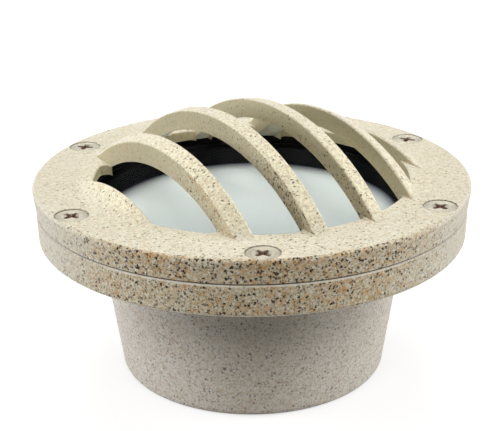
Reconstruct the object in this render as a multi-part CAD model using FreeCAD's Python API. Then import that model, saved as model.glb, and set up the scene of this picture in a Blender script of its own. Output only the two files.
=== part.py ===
import FreeCAD, Part
import math
import os

# In ground well light: a die-cast bowl with a wide flange, closed by a cast ring whose
# domed top is cut into four arched bars. Under the bars lie a clear glass in a rubber
# channel, then a frosted diffuser in a black bezel, then a small reflector lamp that
# tilts in a yoke. The origin is the middle of the bowl's underside, +Z is up, the bars
# run along Y, and the cable gland leaves the bowl towards +Y. Millimetres.

V = FreeCAD.Vector
UP = V(0, 0, 1)
ALONG_X = V(1, 0, 0)
ALONG_Y = V(0, 1, 0)

# Driving dimensions
FLANGE_R = 80.0             # outer radius of the cover ring
RING_TOP_Z = 73.5           # underside of the bowl to the top of the cover ring
COVER_T = 9.0               # thickness of the cover ring
FLANGE_T = 11.5             # thickness of the bowl's own flange
DOME_RISE = 25.3            # crown of the bars above the ring
DOME_R = 89.4               # sphere of the bars' top
DOME_BLEND_R = 6.0          # hollow blend from the flat ring into the dome
BAR_DEPTH = 7.2             # depth of a bar at the crown
BAR_UNDER_R = 86.2          # sphere of the bars' underside
BAR_W = 5.8
BAR_PITCH = 23.5
RIM_ROUND = 0.7             # rounding along the bars and the slot rims
SLOT_CORNER_R = 2.6
OPENING_R = 57.8            # circle on which the openings between the bars end
RUN_OUT_R = 63.0            # circle on which the bars run out on the flat ring
OUTER_SLOT_X = 55.0         # straight outer wall of the two outermost slots
BOWL_TOP_R = 56.9           # bowl radius where it meets the flange
BOWL_BASE_R = 49.25
WALL_T = 3.5
FLOOR_T = 4.5
SCREW_CIRCLE_R = 73.0
SCREW_COUNT = 6
M6_R = 3.0
GLASS_T = 4.0
DIFFUSER_T = 4.5
GLAND_Z = 30.0
TILT_Z = 34.0               # height of the lamp's tilt axis

# Levels worked out from them
SEAM_Z = RING_TOP_Z - COVER_T
SEAM_GAP = 0.1
FLANGE_Z = SEAM_Z - FLANGE_T
SEAM_R = FLANGE_R - 1.1
FLANGE_BASE_R = FLANGE_R - 1.4
DOME_Z = RING_TOP_Z + DOME_RISE - DOME_R
BAR_UNDER_Z = RING_TOP_Z + DOME_RISE - BAR_DEPTH - BAR_UNDER_R
LIP_Z = RING_TOP_Z - 4.0
LEDGE_Z = SEAM_Z - 0.7
SHOULDER_Z = FLANGE_Z + 0.5
POCKET_R = 65.2
GASKET_IN_R = 60.6          # the gasket lies outside this circle
INNER_POCKET_R = 57.2
GASKET_R = POCKET_R - 0.3
GLASS_R = 63.5
FIT_GAP = 0.05
ROUND_MID = 1 - math.sqrt(0.5)   # middle of a quarter arc, as a share of its radius


def turned(outline):
    """Solid of revolution about Z. A step of the outline is a point (r, z) joined by a
    line, or a pair of points: the middle and the end of an arc."""
    first = outline[0]
    here = first
    edges = []
    for step in outline[1:] + [first]:
        if isinstance(step[0], tuple):
            middle, end = step
            points = [V(r, 0, z) for r, z in (here, middle, end)]
            edges.append(Part.Arc(*points).toShape())
            here = end
        elif step != here:
            edges.append(Part.LineSegment(V(here[0], 0, here[1]), V(step[0], 0, step[1])).toShape())
            here = step
    return Part.Face(Part.Wire(edges)).revolve(V(0, 0, 0), UP, 360)


def ring(r_out, r_in, z_low, z_high):
    return turned([(r_in, z_low), (r_out, z_low), (r_out, z_high), (r_in, z_high)])


def rod(r, start, end):
    run = V(*end) - V(*start)
    return Part.makeCylinder(r, run.Length, V(*start), run)


def block(low, high):
    return Part.makeBox(high[0] - low[0], high[1] - low[1], high[2] - low[2], V(*low))


def hexagon(across_flats, start, end):
    """Hexagonal prism from start to end, two flats facing sideways."""
    run = V(*end) - V(*start)
    side = ALONG_X if abs(run.x) < 1e-6 else ALONG_Y
    corner = side * (across_flats / math.sqrt(3))
    turn = FreeCAD.Rotation(run, 60)
    corners = []
    for _ in range(7):
        corners.append(V(*start) + corner)
        corner = turn.multVec(corner)
    return Part.Face(Part.makePolygon(corners)).extrude(run)


def around(piece, count, first_angle=0.0):
    """Copies of a piece spaced evenly about the Z axis."""
    copies = []
    for k in range(count):
        copy = piece.copy()
        copy.rotate(V(0, 0, 0), UP, first_angle + 360.0 * k / count)
        copies.append(copy)
    return copies


def mirrored_x(piece):
    """The piece and its mirror image across the YZ plane."""
    return [piece, piece.mirror(V(0, 0, 0), ALONG_X)]


def softened(solid, radius, wanted):
    """Rounds the edges that the test picks out."""
    return solid.makeFillet(radius, [edge for edge in solid.Edges if wanted(edge)])


def is_upright(edge):
    box = edge.BoundBox
    return box.ZLength > 5 and box.XLength < 0.01 and box.YLength < 0.01


def save(name, shape):
    if isinstance(shape, list):
        shape = Part.makeCompound(shape)
    for k, solid in enumerate(shape.Solids):
        if not solid.isValid():
            print("not valid:", name, k)
    print("%-18s solids %d  volume %.1f" % (name, len(shape.Solids), shape.Volume))
    shape.exportStep("parts/%s.step" % name)


# ---- Cover: ring, dome and bars in one casting -------------------------------------------

def dome_outline():
    """Outside of the cover from the seam to the crown. A hollow blend leads from the flat
    ring into the dome, tangent to both."""
    rim_round = 1.2
    foot_bevel = 0.4
    draft = 0.15
    reach = DOME_R + DOME_BLEND_R
    rise = RING_TOP_Z + DOME_BLEND_R - DOME_Z
    blend_r = math.sqrt(reach ** 2 - rise ** 2)
    join_angle = math.atan2(rise, blend_r)
    join = (DOME_R * math.cos(join_angle), DOME_Z + DOME_R * math.sin(join_angle))
    toward_join = V(join[0] - blend_r, 0, join[1] - RING_TOP_Z - DOME_BLEND_R).normalize()
    middle = (toward_join + V(0, 0, -1)).normalize() * DOME_BLEND_R
    half_way = 0.5 * (join_angle + math.pi / 2)
    crown_side = (DOME_R * math.cos(half_way), DOME_Z + DOME_R * math.sin(half_way))
    side_top = FLANGE_R - draft
    foot_z = SEAM_Z + SEAM_GAP
    corner = (side_top - rim_round * ROUND_MID, RING_TOP_Z - rim_round * ROUND_MID)
    return [
        (0, foot_z), (SEAM_R - foot_bevel, foot_z), (SEAM_R, foot_z + foot_bevel),
        (side_top, RING_TOP_Z - rim_round),
        (corner, (side_top - rim_round, RING_TOP_Z)),
        (blend_r, RING_TOP_Z),
        ((blend_r + middle.x, RING_TOP_Z + DOME_BLEND_R + middle.z), join),
        (crown_side, (0, RING_TOP_Z + DOME_RISE)),
    ]


def slot_spans():
    """Sides of the five slots."""
    inner = BAR_PITCH / 2 - BAR_W / 2
    outer = 1.5 * BAR_PITCH
    spans = [(-inner, inner)]
    for side in (1, -1):
        for low, high in ((inner + BAR_W, outer - BAR_W / 2), (outer + BAR_W / 2, OUTER_SLOT_X)):
            spans.append((low, high) if side > 0 else (-high, -low))
    return spans


def strip(span, end_r, z_low, z_high):
    """A slot's whole width between two levels. It ends on a circle."""
    disc = Part.makeCylinder(end_r, z_high - z_low, V(0, 0, z_low))
    return block((span[0], -FLANGE_R, z_low), (span[1], FLANGE_R, z_high)).common(disc)


def rounded_strip(span, end_r, z_low, z_high):
    return softened(strip(span, end_r, z_low, z_high), SLOT_CORNER_R, is_upright)


def shelf_plate():
    """The flat ring carried on inwards under the bars, with its five openings. Between the
    bars it shows as a shelf in both ends of each slot."""
    plate = Part.makeCylinder(RUN_OUT_R + 1.5, RING_TOP_Z - LIP_Z, V(0, 0, LIP_Z))
    for span in slot_spans():
        plate = plate.cut(rounded_strip(span, OPENING_R, LIP_Z - 1, RING_TOP_Z + 1))

    def on_top_rim(edge):
        middle = edge.valueAt(0.5 * (edge.FirstParameter + edge.LastParameter))
        return edge.BoundBox.ZMin > RING_TOP_Z - 0.01 and math.hypot(middle.x, middle.y) < OPENING_R + 0.1
    return softened(plate, RIM_ROUND, on_top_rim)


HEAD_R = 5.65               # countersunk head
SINK_R = 5.9                # its countersink
HEAD_DEPTH = 3.1
HEAD_BAND = 0.45            # straight band round the head
HEAD_TOP_Z = RING_TOP_Z - 0.2
RETAINER_R = 4.6
RETAINER_SEAT = 1.3         # depth of the washer's seat in the cover


def cover_grille():
    cover = turned(dome_outline())
    hollow = Part.makeSphere(BAR_UNDER_R, V(0, 0, BAR_UNDER_Z))
    below_lip = Part.makeCylinder(FLANGE_R, LIP_Z, V(0, 0, 0))
    cover = cover.cut(hollow.cut(below_lip))
    cover = cover.cut(Part.makeCylinder(POCKET_R, LIP_Z - SEAM_Z + 1, V(0, 0, SEAM_Z - 1)))
    above = 2 * FLANGE_R
    for span in slot_spans():
        cover = cover.cut(rounded_strip(span, RUN_OUT_R, BOWL_TOP_R, above))
    cover = round_bar_edges(cover)
    plate = shelf_plate()
    for span in slot_spans():
        cover = cover.fuse(plate.common(strip(span, FLANGE_R, LIP_Z, RING_TOP_Z)))
        cover = cover.cut(strip(span, FLANGE_R, RING_TOP_Z, above))
    cover = cover.removeSplitter()
    clearance_r = M6_R + 0.3
    sink = turned([(0, SEAM_Z - 1), (clearance_r, SEAM_Z - 1),
                   (clearance_r, RING_TOP_Z - HEAD_DEPTH), (SINK_R, RING_TOP_Z - HEAD_BAND),
                   (SINK_R, RING_TOP_Z + 1), (0, RING_TOP_Z + 1)])
    washer_seat = Part.makeCylinder(RETAINER_R + 0.2, RETAINER_SEAT + SEAM_GAP, V(0, 0, SEAM_Z))
    hole = sink.fuse(washer_seat)
    hole.translate(V(SCREW_CIRCLE_R, 0, 0))
    for cutter in around(hole, SCREW_COUNT):
        cover = cover.cut(cutter)
    return cover


def round_bar_edges(cover):
    """Takes the sharpness off the long upper edges of the bars and the slot rims."""
    def on_dome_rim(edge):
        middle = edge.valueAt(0.5 * (edge.FirstParameter + edge.LastParameter))
        from_centre = (middle - V(0, 0, DOME_Z)).Length
        return abs(from_centre - DOME_R) < 0.02 and math.hypot(middle.x, middle.y) < RUN_OUT_R + 0.1
    rims = [edge for edge in cover.Edges if on_dome_rim(edge)]
    return cover.makeFillet(RIM_ROUND, rims)


def cross_recess(depth=2.6):
    """Cutter for a cross recess that opens upwards at the origin: four tapering wings."""
    over = 0.3                  # how far the cutter stands above the face
    mouth = 2.9
    foot = 1.0
    wing_t = 1.1
    wing = Part.Face(Part.makePolygon([V(-mouth, 0, over), V(-foot, 0, -depth), V(foot, 0, -depth),
                                       V(mouth, 0, over), V(-mouth, 0, over)])).extrude(V(0, wing_t, 0))
    wing.translate(V(0, -wing_t / 2, 0))
    other = wing.copy()
    other.rotate(V(0, 0, 0), UP, 90)
    core = Part.makeCone(foot, 1.7, depth + over, V(0, 0, -depth))
    return wing.fuse(other).fuse(core)


SCREW_TIP_Z = RING_TOP_Z - 16.3


def cover_screws():
    tip = 0.8
    screw = turned([(0, SCREW_TIP_Z), (M6_R - tip, SCREW_TIP_Z), (M6_R, SCREW_TIP_Z + tip),
                    (M6_R, HEAD_TOP_Z - HEAD_DEPTH), (HEAD_R, HEAD_TOP_Z - HEAD_BAND),
                    (HEAD_R, HEAD_TOP_Z - 0.15), (HEAD_R - 0.2, HEAD_TOP_Z), (0, HEAD_TOP_Z)])
    recess = cross_recess()
    recess.rotate(V(0, 0, 0), UP, 20)
    recess.translate(V(0, 0, HEAD_TOP_Z))
    screw = screw.cut(recess)
    screw.translate(V(SCREW_CIRCLE_R, 0, 0))
    return around(screw, SCREW_COUNT)


def screw_retainers():
    washer_z = SEAM_Z + SEAM_GAP + 0.1
    washer = ring(RETAINER_R, M6_R, washer_z, washer_z + 1.1)
    washer.translate(V(SCREW_CIRCLE_R, 0, 0))
    return around(washer, SCREW_COUNT)


# ---- Housing: bowl and flange of one casting, kept as two solids that meet at the neck -----

def bowl_r(z):
    """Outer radius of the tapered bowl at a height."""
    return BOWL_BASE_R + (BOWL_TOP_R - BOWL_BASE_R) * z / FLANGE_Z


NECK = 2.5                  # hollow rounding between the bowl and the flange's underside
NECK_R = BOWL_TOP_R + NECK
PAD_R = 12.0
PAD_Y = 57.0
PAD_INNER_Y = 47.6
GLAND_THREAD_R = 8.0
YOKE_SCREW_X = 14.0
YOKE_SCREW_R = 1.95
BLOCK_Y = 32.0
BLOCK_SCREW_R = 1.45
BLIND_Z = 1.8               # bottom of the blind holes in the floor


def housing():
    """The bowl, with the pad for its cable gland and the blind holes in its floor."""
    base_round = 3.2
    inner_round = 3.0
    lean = math.atan2(BOWL_TOP_R - BOWL_BASE_R, FLANGE_Z)
    reach = base_round * math.tan(math.pi / 4 - lean / 2)
    start = (BOWL_BASE_R - reach, 0)
    centre = (start[0], base_round)
    middle = (centre[0] + base_round * math.sin(math.pi / 4 - lean / 2),
              centre[1] - base_round * math.cos(math.pi / 4 - lean / 2))
    end = (centre[0] + base_round * math.cos(lean), centre[1] - base_round * math.sin(lean))
    rest_recess_r = 40.0
    rest_recess = 0.8
    inside_floor_r = bowl_r(FLOOR_T) - WALL_T
    bowl = turned([
        (0, rest_recess), (rest_recess_r - rest_recess, rest_recess), (rest_recess_r, 0), start,
        (middle, end),
        (bowl_r(FLANGE_Z - NECK), FLANGE_Z - NECK),
        ((BOWL_TOP_R + ROUND_MID * NECK, FLANGE_Z - ROUND_MID * NECK), (NECK_R, FLANGE_Z)),
        (NECK_R, SHOULDER_Z), (bowl_r(SHOULDER_Z) - WALL_T, SHOULDER_Z),
        (inside_floor_r, FLOOR_T + inner_round),
        ((inside_floor_r - ROUND_MID * inner_round, FLOOR_T + ROUND_MID * inner_round),
         (inside_floor_r - inner_round, FLOOR_T)),
        (0, FLOOR_T)])
    bowl = bowl.fuse(rod(PAD_R, (0, PAD_INNER_Y, GLAND_Z), (0, PAD_Y, GLAND_Z)))
    bowl = bowl.cut(rod(GLAND_THREAD_R, (0, PAD_INNER_Y - 5, GLAND_Z), (0, PAD_Y + 5, GLAND_Z)))
    holes = mirrored_x(Part.makeCylinder(YOKE_SCREW_R + FIT_GAP, FLOOR_T, V(YOKE_SCREW_X, 0, BLIND_Z)))
    holes.append(Part.makeCylinder(BLOCK_SCREW_R + FIT_GAP, FLOOR_T, V(0, BLOCK_Y, BLIND_Z)))
    for hole in holes:
        bowl = bowl.cut(hole)
    return bowl.removeSplitter()


def housing_flange():
    """The flange on the bowl, stepped inside for the glass and the diffuser and drilled for
    the cover's screws."""
    edge = 1.5
    bevel = 0.5
    flange = turned([
        (NECK_R, FLANGE_Z), (FLANGE_BASE_R - edge, FLANGE_Z),
        ((FLANGE_BASE_R - ROUND_MID * edge, FLANGE_Z + ROUND_MID * edge), (FLANGE_BASE_R, FLANGE_Z + edge)),
        (SEAM_R, SEAM_Z - bevel), (SEAM_R - bevel, SEAM_Z),
        (POCKET_R, SEAM_Z), (POCKET_R, LEDGE_Z), (INNER_POCKET_R, LEDGE_Z),
        (INNER_POCKET_R, SHOULDER_Z), (NECK_R, SHOULDER_Z)])
    hole_z = SCREW_TIP_Z - 1.5
    screw_hole = Part.makeCylinder(M6_R + FIT_GAP, SEAM_Z - hole_z, V(SCREW_CIRCLE_R, 0, hole_z))
    for hole in around(screw_hole, SCREW_COUNT):
        flange = flange.cut(hole)
    return flange


# ---- Glass, gasket, diffuser and bezel ---------------------------------------------------

GLASS_TOP_Z = LIP_Z - 0.8
GLASS_Z = GLASS_TOP_Z - GLASS_T


def lens_glass():
    edge = 0.5
    return turned([(0, GLASS_Z), (GLASS_R - edge, GLASS_Z), (GLASS_R, GLASS_Z + edge),
                   (GLASS_R, GLASS_TOP_Z - edge), (GLASS_R - edge, GLASS_TOP_Z), (0, GLASS_TOP_Z)])


def lens_gasket():
    """Rubber channel that wraps the rim of the glass."""
    lips_r = GASKET_IN_R + 0.2
    low = LEDGE_Z + FIT_GAP
    high = LIP_Z - FIT_GAP
    return turned([(lips_r, low), (GASKET_R, low), (GASKET_R, high), (lips_r, high),
                   (lips_r, GLASS_TOP_Z), (GLASS_R, GLASS_TOP_Z), (GLASS_R, GLASS_Z), (lips_r, GLASS_Z)])


DISC_R = 56.2


def diffuser():
    return turned([(0, SHOULDER_Z + FIT_GAP), (DISC_R, SHOULDER_Z + FIT_GAP),
                   (DISC_R, SHOULDER_Z + DIFFUSER_T), (0, SHOULDER_Z + DIFFUSER_T)])


def bezel_ring():
    """Black ring above the diffuser, with a skirt round the diffuser's edge and a thin
    collar that lies on the ledge of the bowl."""
    outer = INNER_POCKET_R - 0.3
    inner = 55.4
    bevel = 0.6
    top = GLASS_Z - 0.4
    disc_top = SHOULDER_Z + DIFFUSER_T
    return turned([(DISC_R, SHOULDER_Z + FIT_GAP), (outer, SHOULDER_Z + FIT_GAP),
                   (outer, LEDGE_Z + FIT_GAP), (GASKET_IN_R, LEDGE_Z + FIT_GAP), (GASKET_IN_R, top),
                   (inner + bevel, top), (inner, top - bevel), (inner, disc_top), (DISC_R, disc_top)])


# ---- Lamp: a 35 mm two-pin reflector lamp ------------------------------------------------

RIM_Z = 47.5                # front rim of the lamp
RIM_R = 17.5
RIM_H = 2.3
LAMP_WALL = 1.2
NECK_Z = RIM_Z - 21.0       # bottom of the glass reflector
SOCKET_TOP_Z = RIM_Z - 28.5
SOCKET_Z = 8.0
PIN_GAP = 4.0               # distance between the two pins
PIN_R = 0.5
PIN_IN_CAP = 3.0


def lamp_reflector():
    neck_r = 7.0
    belly = (13.0, RIM_Z - 13.5)
    shoulder_r = 16.4
    rim_base = RIM_Z - RIM_H
    step = RIM_Z - 1.9
    return turned([(neck_r, NECK_Z), (belly, (shoulder_r, rim_base)), (RIM_R, rim_base),
                   (RIM_R, RIM_Z), (RIM_R - LAMP_WALL, RIM_Z), (RIM_R - LAMP_WALL, step),
                   (shoulder_r - LAMP_WALL, step),
                   ((belly[0] - LAMP_WALL, belly[1]), (neck_r - LAMP_WALL, NECK_Z))])


def lamp_front_glass():
    return Part.makeCylinder(RIM_R - LAMP_WALL - FIT_GAP, 1.4, V(0, 0, RIM_Z - 1.85))


def lamp_burner():
    """Quartz capsule with its flat pinch, standing in the lamp's neck."""
    low = NECK_Z + 3.0
    tube_h = 5.2

    def bulb(r, bottom):
        tube = Part.makeCylinder(r, low + tube_h - bottom, V(0, 0, bottom))
        return tube.fuse(Part.makeSphere(r, V(0, 0, low + tube_h))).removeSplitter()

    pinch = block((-3.0, -1.2, NECK_Z + 0.1), (3.0, 1.2, low + 0.4))
    return bulb(3.8, low).fuse(pinch).cut(bulb(3.0, low + 0.8))


def lamp_filament():
    """Coiled filament across the capsule, on two legs."""
    z = NECK_Z + 8.0
    half = 1.8
    coil = rod(0.5, (-half, 0, z), (half, 0, z))
    legs = [rod(0.2, (x, 0, NECK_Z + 3.85), (x, 0, z)) for x in (0.2 - half, half - 0.2)]
    return coil.fuse(legs)


def lamp_cap():
    """Ceramic cap cemented on the reflector's neck."""
    round_part = Part.makeCylinder(6.95, 3.5, V(0, 0, NECK_Z - 3.5))
    foot = block((-6.5, -3.6, SOCKET_TOP_Z + 0.1), (6.5, 3.6, NECK_Z - 3.4))
    cap = round_part.fuse(foot)
    for x in (-PIN_GAP / 2, PIN_GAP / 2):
        cap = cap.cut(rod(PIN_R, (x, 0, SOCKET_TOP_Z - 1), (x, 0, SOCKET_TOP_Z + PIN_IN_CAP)))
    return cap


def lamp_pins():
    return [rod(PIN_R, (x, 0, SOCKET_TOP_Z - 5.5), (x, 0, SOCKET_TOP_Z + PIN_IN_CAP))
            for x in (-PIN_GAP / 2, PIN_GAP / 2)]


RIVET_X = 5.6
RIVET_R = 0.9
SOCKET_HALF = (7.5, 5.0)


def lamp_socket():
    half_x, half_y = SOCKET_HALF
    body = block((-half_x, -half_y, SOCKET_Z), (half_x, half_y, SOCKET_TOP_Z))
    body = softened(body, 1.5, is_upright)
    for x in (-PIN_GAP / 2, PIN_GAP / 2):
        body = body.cut(rod(PIN_R + 0.1, (x, 0, SOCKET_TOP_Z - 6), (x, 0, SOCKET_TOP_Z + 1)))
    for x in (-RIVET_X, RIVET_X):
        body = body.cut(rod(RIVET_R, (x, 0, SOCKET_Z - 1), (x, 0, SOCKET_TOP_Z + 1)))
    return body


def socket_rivets():
    """Hollow rivets that hold the two halves of the socket together."""
    bore_r = 0.4
    shank = ring(RIVET_R, bore_r, SOCKET_Z, SOCKET_TOP_Z)
    head = ring(1.5, bore_r, SOCKET_Z - 0.4, SOCKET_Z)
    rivet = shank.fuse(head)
    rivet.translate(V(RIVET_X, 0, 0))
    return mirrored_x(rivet)


# ---- Gimbal ring, yoke and pivots --------------------------------------------------------

GIMBAL_R = 20.0
GIMBAL_BAND = 1.3
UPRIGHT_X = 21.5            # inner face of the yoke's uprights
SHEET_T = 1.2
PIVOT_R = 2.0
PIVOT_HEAD_X = UPRIGHT_X + SHEET_T + FIT_GAP
NUT_FACE_X = 18.2
NUT_H = 3.0


def gimbal_ring():
    inner = GIMBAL_R - GIMBAL_BAND
    top = RIM_Z + 1.4
    bottom = TILT_Z - 5
    ledge_top = RIM_Z - RIM_H
    ledge_r = RIM_R - 0.6
    band = turned([(GIMBAL_R, bottom), (GIMBAL_R, top), (inner, top), (inner, ledge_top),
                   (ledge_r, ledge_top), (ledge_r, ledge_top - SHEET_T), (inner, ledge_top - SHEET_T),
                   (inner, bottom)])
    return band.cut(rod(PIVOT_R, (-UPRIGHT_X, 0, TILT_Z), (UPRIGHT_X, 0, TILT_Z)))


def lamp_clip():
    """Split wire ring that snaps in over the lamp's rim."""
    wire = 0.7
    clip = Part.makeTorus(GIMBAL_R - GIMBAL_BAND - wire - 0.05, wire, V(0, 0, 0), UP, -180, 180, 335)
    clip.rotate(V(0, 0, 0), UP, -78)
    clip.translate(V(0, 0, RIM_Z + wire))
    return clip


def pivot_screws():
    head_h = 2.3
    length = PIVOT_HEAD_X - NUT_FACE_X + NUT_H - 0.3
    head = turned([(0, 0), (3.7, 0), (3.7, 1.2), ((3.0, 2.0), (1.8, head_h)), (0, head_h)])
    shank = Part.makeCylinder(PIVOT_R, length, V(0, 0, -length))
    recess = cross_recess(1.5)
    recess.translate(V(0, 0, head_h))
    screw = head.fuse(shank).cut(recess)
    screw.rotate(V(0, 0, 0), ALONG_Y, 90)
    screw.translate(V(PIVOT_HEAD_X, 0, TILT_Z))
    return mirrored_x(screw)


def pivot_nuts():
    nut = hexagon(7.0, (NUT_FACE_X - NUT_H, 0, TILT_Z), (NUT_FACE_X, 0, TILT_Z))
    nut = nut.cut(rod(PIVOT_R, (NUT_FACE_X - NUT_H - 1, 0, TILT_Z), (NUT_FACE_X + 1, 0, TILT_Z)))
    return mirrored_x(nut)


def pivot_washers():
    start = (GIMBAL_R, 0, TILT_Z)
    end = (UPRIGHT_X - FIT_GAP, 0, TILT_Z)
    washer = rod(4.4, start, end).cut(rod(PIVOT_R, (GIMBAL_R - 1, 0, TILT_Z), (UPRIGHT_X + 1, 0, TILT_Z)))
    return mirrored_x(washer)


def yoke_bracket():
    """Strip bent into a U: a foot on the floor and two uprights with rounded ends."""
    half = 6.0
    outside = UPRIGHT_X + SHEET_T
    foot = block((-outside, -half, FLOOR_T), (outside, half, FLOOR_T + SHEET_T))
    upright = block((UPRIGHT_X, -half, FLOOR_T), (outside, half, TILT_Z))
    crown = rod(half, (UPRIGHT_X, 0, TILT_Z), (outside, 0, TILT_Z))
    yoke = foot.fuse(mirrored_x(upright.fuse(crown))).removeSplitter()
    yoke = softened(yoke, SHEET_T, lambda edge: edge.BoundBox.YLength > 2 * half - 0.1
                    and abs(edge.BoundBox.ZMin - FLOOR_T) < 0.01 and edge.BoundBox.XLength < 0.01)
    yoke = yoke.cut(rod(PIVOT_R + FIT_GAP, (-outside - 1, 0, TILT_Z), (outside + 1, 0, TILT_Z)))
    for x in (-YOKE_SCREW_X, YOKE_SCREW_X):
        yoke = yoke.cut(rod(YOKE_SCREW_R + 0.25, (x, 0, FLOOR_T - 1), (x, 0, FLOOR_T + 5)))
    return yoke


def pan_screw(r, head_r, head_h, seat_z, tip_z):
    """Pan head screw on the Z axis, its head standing on seat_z."""
    top = seat_z + head_h
    screw = turned([(0, tip_z), (r, tip_z), (r, seat_z), (head_r, seat_z), (head_r, top - 0.6),
                    ((head_r - 0.2, top - 0.2), (head_r - 0.7, top)), (0, top)])
    recess = cross_recess(1.4)
    recess.scale(0.24 * head_r)
    recess.translate(V(0, 0, top))
    return screw.cut(recess)


def yoke_screws():
    screw = pan_screw(YOKE_SCREW_R, 3.7, 2.3, FLOOR_T + SHEET_T, BLIND_Z + 0.2)
    screw.translate(V(YOKE_SCREW_X, 0, 0))
    return mirrored_x(screw)


# ---- Terminal block and leads ------------------------------------------------------------

BLOCK_HALF = (9.5, 7.0)
BLOCK_H = 10.5
BRIDGE_H = 6.4              # height of the block between its two poles
POLE_X = 5.8
POLE_HALF = 3.2
POLE_Z = FLOOR_T + 4.6
TERMINAL_DY = 4.0
TUBE_R = 2.35


def terminal_block():
    low = (-BLOCK_HALF[0], BLOCK_Y - BLOCK_HALF[1], FLOOR_T)
    high = (BLOCK_HALF[0], BLOCK_Y + BLOCK_HALF[1], FLOOR_T + BRIDGE_H)
    base = block(low, high)
    for x in (-POLE_X, POLE_X):
        tower = block((x - POLE_HALF, low[1], FLOOR_T), (x + POLE_HALF, high[1], FLOOR_T + BLOCK_H))
        base = base.fuse(tower)
    base = base.removeSplitter()
    for x in (-POLE_X, POLE_X):
        base = base.cut(rod(TUBE_R + FIT_GAP, (x, low[1] - 1, POLE_Z), (x, high[1] + 1, POLE_Z)))
        for dy in (-TERMINAL_DY, TERMINAL_DY):
            base = base.cut(rod(2.0, (x, BLOCK_Y + dy, POLE_Z), (x, BLOCK_Y + dy, FLOOR_T + BLOCK_H + 1)))
    return base.cut(rod(BLOCK_SCREW_R + 0.15, (0, BLOCK_Y, FLOOR_T - 1), (0, BLOCK_Y, FLOOR_T + 12)))


def terminal_tubes():
    """Brass tubes in the block that take a lead at each end."""
    tubes = []
    for x in (-POLE_X, POLE_X):
        tube = rod(TUBE_R, (x, BLOCK_Y - 6.2, POLE_Z), (x, BLOCK_Y + 6.2, POLE_Z))
        tube = tube.cut(rod(1.5, (x, BLOCK_Y - 7, POLE_Z), (x, BLOCK_Y + 7, POLE_Z)))
        for dy in (-TERMINAL_DY, TERMINAL_DY):
            tube = tube.cut(rod(1.2, (x, BLOCK_Y + dy, POLE_Z), (x, BLOCK_Y + dy, POLE_Z + 4)))
        tubes.append(tube)
    return tubes


def terminal_screws():
    low = POLE_Z + 1.0
    top = FLOOR_T + BLOCK_H - 1.2
    head_z = top - 1.6
    screws = []
    for x in (-POLE_X, POLE_X):
        for dy in (-TERMINAL_DY, TERMINAL_DY):
            screw = turned([(0, low), (1.15, low), (1.15, head_z), (1.85, head_z), (1.85, top), (0, top)])
            screw = screw.cut(block((-2, -0.25, top - 0.7), (2, 0.25, top + 1)))
            screw.rotate(V(0, 0, 0), UP, 35 * dy + 12 * x)
            screw.translate(V(x, BLOCK_Y + dy, 0))
            screws.append(screw)
    return screws


def block_screw():
    screw = pan_screw(BLOCK_SCREW_R, POLE_X - POLE_HALF - 0.1, 1.8, FLOOR_T + BRIDGE_H, BLIND_Z + 0.2)
    screw.translate(V(0, BLOCK_Y, 0))
    return screw


def lead_tube(points, r):
    """Tube along straight runs joined by tangent arcs, each as large as its runs allow."""
    corners = [V(*p) for p in points]
    edges = []
    here = corners[0]
    for before, corner, after in zip(corners, corners[1:], corners[2:]):
        inward = (before - corner).normalize()
        outward = (after - corner).normalize()
        step = 0.45 * min((before - corner).Length, (after - corner).Length)
        half_turn = 0.5 * (math.pi - inward.getAngle(outward))
        radius = step / math.tan(half_turn)
        start = corner + inward * step
        end = corner + outward * step
        bisector = (inward + outward).normalize()
        middle = corner + bisector * (radius / math.cos(half_turn) - radius)
        edges.append(Part.LineSegment(here, start).toShape())
        edges.append(Part.Arc(start, middle, end).toShape())
        here = end
    edges.append(Part.LineSegment(here, corners[-1]).toShape())
    path = Part.Wire(edges)
    section = Part.Wire(Part.makeCircle(r, corners[0], corners[1] - corners[0]))
    return path.makePipeShell([section], True, False)


LEAD_R = 0.9


def lamp_leads():
    """Two insulated leads from the side of the socket into the terminal block."""
    tube_end = BLOCK_Y - BLOCK_HALF[1] + 0.7
    return [lead_tube([(side * 3.2, SOCKET_HALF[1] + 0.1, 12.5), (side * 3.6, 10.5, 12.2),
                       (side * POLE_X, 18.5, POLE_Z), (side * POLE_X, tube_end, POLE_Z)], LEAD_R)
            for side in (-1, 1)]


# ---- Cable gland -------------------------------------------------------------------------

GLAND_HEX = 22.0
GLAND_BORE_R = 4.6
SEAL_R = 6.2
SEAL_BORE_R = 3.5
HEX_Y = PAD_Y + 1.2
SLEEVE_Y = HEX_Y + 5.0
SLEEVE_R = 7.6
SLEEVE_L = 8.0
SEAL_Y = SLEEVE_Y + 1.0
NUT_Y = SLEEVE_Y + 0.4
NUT_GRIP_L = 7.0
GLAND_TIP_Y = NUT_Y + 14.0
LOCKNUT_T = 4.0


def along_y(r, y_low, y_high):
    return rod(r, (0, y_low, GLAND_Z), (0, y_high, GLAND_Z))


def gland_washer():
    return along_y(10.6, PAD_Y, HEX_Y).cut(along_y(GLAND_THREAD_R, PAD_Y - 1, HEX_Y + 1))


def gland_body():
    thread_in = PAD_INNER_Y - LOCKNUT_T - 1.5
    sleeve_end = SLEEVE_Y + SLEEVE_L
    body = along_y(GLAND_THREAD_R - FIT_GAP, thread_in, HEX_Y)
    body = body.fuse(hexagon(GLAND_HEX, (0, HEX_Y, GLAND_Z), (0, SLEEVE_Y, GLAND_Z)))
    body = body.fuse(along_y(SLEEVE_R, SLEEVE_Y, sleeve_end))
    body = body.cut(along_y(GLAND_BORE_R, thread_in - 1, sleeve_end + 1))
    return body.cut(along_y(SEAL_R + 0.1, SEAL_Y, sleeve_end + 1))


def gland_seal():
    seal_end = NUT_Y + 10.5
    return along_y(SEAL_R, SEAL_Y, seal_end).cut(along_y(SEAL_BORE_R, SLEEVE_Y, seal_end + 1))


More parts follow.
